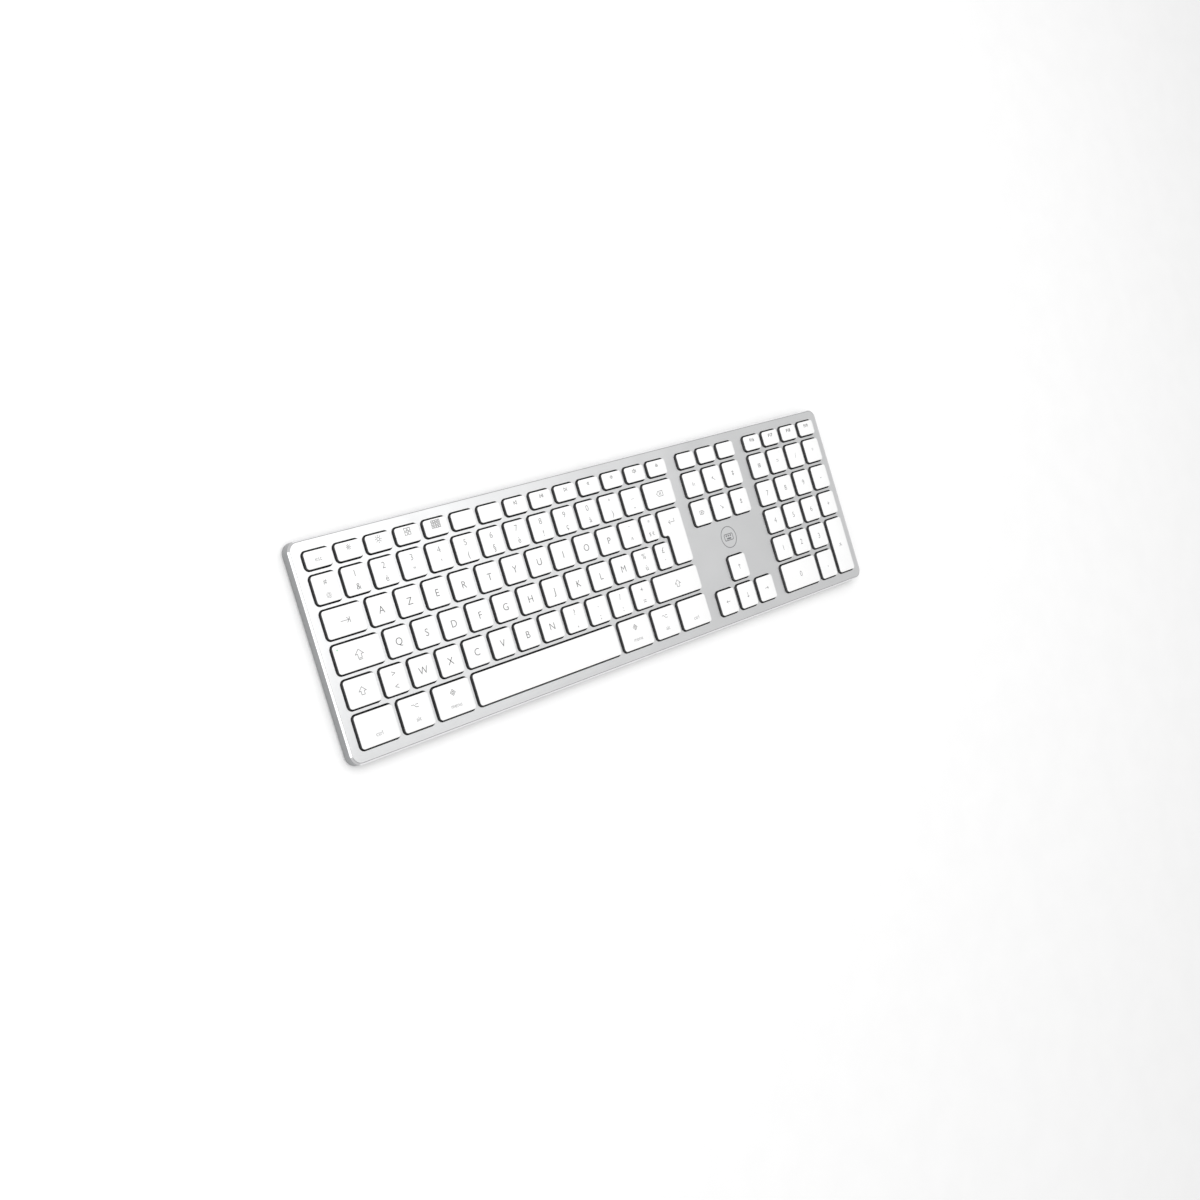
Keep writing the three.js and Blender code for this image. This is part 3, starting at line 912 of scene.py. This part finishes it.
def build_switch():
    """A ridged thumb piece in the slot, on a wider carrier behind the wall."""
    low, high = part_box("power_switch")
    centre = (low.x + high.x) / 2
    bottom = low.z + CLEARANCE
    top = high.z - CLEARANCE
    wall_inside = -CASE_HIGH.y + WALL + CLEARANCE
    mesh = bmesh.new()
    thumb = rectangle(centre - THUMB_WIDTH / 2, bottom, centre + THUMB_WIDTH / 2, top)
    levels = [(THUMB_EDGE, -high.y), (0, -high.y + THUMB_EDGE), (0, wall_inside)]
    loft(mesh, [(rounded(thumb, inset, THUMB_CORNER, CORNER_STEPS), height) for inset, height in levels])
    for index in range(RIDGES):
        x = centre + (index - (RIDGES - 1) / 2) * RIDGE_PITCH
        ridge = rectangle(x - RIDGE_WIDTH / 2, bottom + THUMB_EDGE, x + RIDGE_WIDTH / 2, top - THUMB_EDGE)
        levels = [(RIDGE_WIDTH / 4, -high.y - RIDGE_RISE), (0, -high.y - RIDGE_RISE / 2),
                  (0, -high.y + THUMB_EDGE)]
        loft(mesh, [(rounded(ridge, inset, RIDGE_CORNER, RIDGE_CORNER_STEPS), height)
                    for inset, height in levels])
    carrier = rectangle(low.x, low.z, high.x, high.z)
    outline = rounded(carrier, 0, THUMB_CORNER, CORNER_STEPS)
    loft(mesh, [(outline, wall_inside - CARRIER_OVERLAP), (outline, -low.y)])
    turn_upright(mesh)
    finish_piece("switch_thumb", mesh, [switch_white], "power_switch", ["power_switch"])


def build_domes():
    """A sheet with one round dome under the middle of every cap."""
    low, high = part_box("dome_sheet")
    sheet_top = low.z + DOME_SHEET
    mesh = bmesh.new()
    outline = rounded(rectangle(low.x, low.y, high.x, high.y), 0, KEY_CORNER, CORNER_STEPS)
    loft(mesh, [(outline, low.z), (outline, sheet_top)])
    circle = [Vector(p) for p in arc(0, 0, 1, steps=DOME_SIDES)[:-1]]
    for caps in KEYS.values():
        for cap in caps:
            centre = middle(cap)
            levels = []
            for radius, share in DOME_PROFILE:
                height = sheet_top - DOME_SHEET / 2 + share * (high.z - sheet_top + DOME_SHEET / 2)
                levels.append(([centre + p * radius for p in circle], height))
            loft(mesh, levels)
    finish_piece("dome_mat", mesh, [dome_black], "case", ["dome_sheet"], DOME_ANGLE)


build_port()
build_switch()
build_domes()

# ---- Inner parts that keep their CAD shapes ----

CARRIED = {
    "battery_pack": cell_black,
    "controller_board": board_green,
    "support_plate": inner_steel,
    "contact_membrane": film_clear,
}
for node, material in CARRIED.items():
    data = frame["nodes"][node].data
    data.materials.clear()
    data.materials.append(material)

# ---- Floor, light and camera ----

FLOOR_SIZE = 8.0
FLOOR_DROP = 0.2 * MM
FLOOR_GLOW = 0.05
WORLD_STRENGTH = 0.685
# Place, target, width, depth and power
SOFTBOXES = {
    "reflected": ((0.38, 0.42, 0.9), (0.38, 0.42, 0), 0.60, 1.0, 1.55),
    "overhead": ((-0.35, 0.35, 1.0), (-0.1, 0, 0), 0.9, 1.4, 4.6),
    "left": ((-1.6, 0.1, 1.0), (-0.2, 0, 0), 1.2, 1.6, 7.5),
}
CAMERA_PLACE = Vector((-0.6215, 0.0142, 0.6942))
CAMERA_TARGET = Vector((-0.02136, -0.01793, 0.0073))
CAMERA_ROLL = math.radians(75.535)
CAMERA_LENS = 47.48  # in millimetres, as the sensor's width
SENSOR_WIDTH = 36


def build_floor():
    """A white sheet under the keyboard that glows faintly, as lit paper does."""
    mesh = bmesh.new()
    bmesh.ops.create_grid(mesh, x_segments=1, y_segments=1, size=FLOOR_SIZE / 2)
    data = bpy.data.meshes.new("floor")
    mesh.to_mesh(data)
    mesh.free()
    floor = bpy.data.objects.new("floor", data)
    floor.location.z = cad_low.z - FLOOR_DROP
    paper = plastic("floor_white", (0.94, 0.94, 0.94), 0.7, 0.0)
    shader = paper.node_tree.nodes["Principled BSDF"]
    shader.inputs["Emission Color"].default_value = (1, 1, 1, 1)
    shader.inputs["Emission Strength"].default_value = FLOOR_GLOW
    data.materials.append(paper)
    bpy.context.collection.objects.link(floor)


def add_softbox(name, place, target, width, depth, power):
    """A rectangular light that faces a target."""
    light = bpy.data.lights.new(name, "AREA")
    light.shape = "RECTANGLE"
    light.size = width
    light.size_y = depth
    light.energy = power
    holder = bpy.data.objects.new(name, light)
    holder.location = place
    holder.rotation_mode = "QUATERNION"
    holder.rotation_quaternion = (Vector(target) - Vector(place)).to_track_quat("-Z", "Y")
    bpy.context.collection.objects.link(holder)


def build_camera():
    """A camera that is rolled round its line of sight."""
    data = bpy.data.cameras.new("camera")
    data.sensor_width = SENSOR_WIDTH
    data.lens = CAMERA_LENS
    camera = bpy.data.objects.new("camera", data)
    camera.location = CAMERA_PLACE
    camera.rotation_mode = "QUATERNION"
    level = (CAMERA_TARGET - CAMERA_PLACE).to_track_quat("-Z", "Y")
    camera.rotation_quaternion = level @ Quaternion((0, 0, 1), CAMERA_ROLL)
    bpy.context.collection.objects.link(camera)
    bpy.context.scene.camera = camera


def build_world():
    """Even white light from all sides."""
    world = bpy.data.worlds.new("studio")
    world.use_nodes = True
    background = world.node_tree.nodes["Background"]
    background.inputs["Color"].default_value = (1, 1, 1, 1)
    background.inputs["Strength"].default_value = WORLD_STRENGTH
    bpy.context.scene.world = world


build_floor()
build_world()
for name, setting in SOFTBOXES.items():
    add_softbox(name, *setting)
build_camera()
bpy.context.scene.view_settings.view_transform = "Standard"
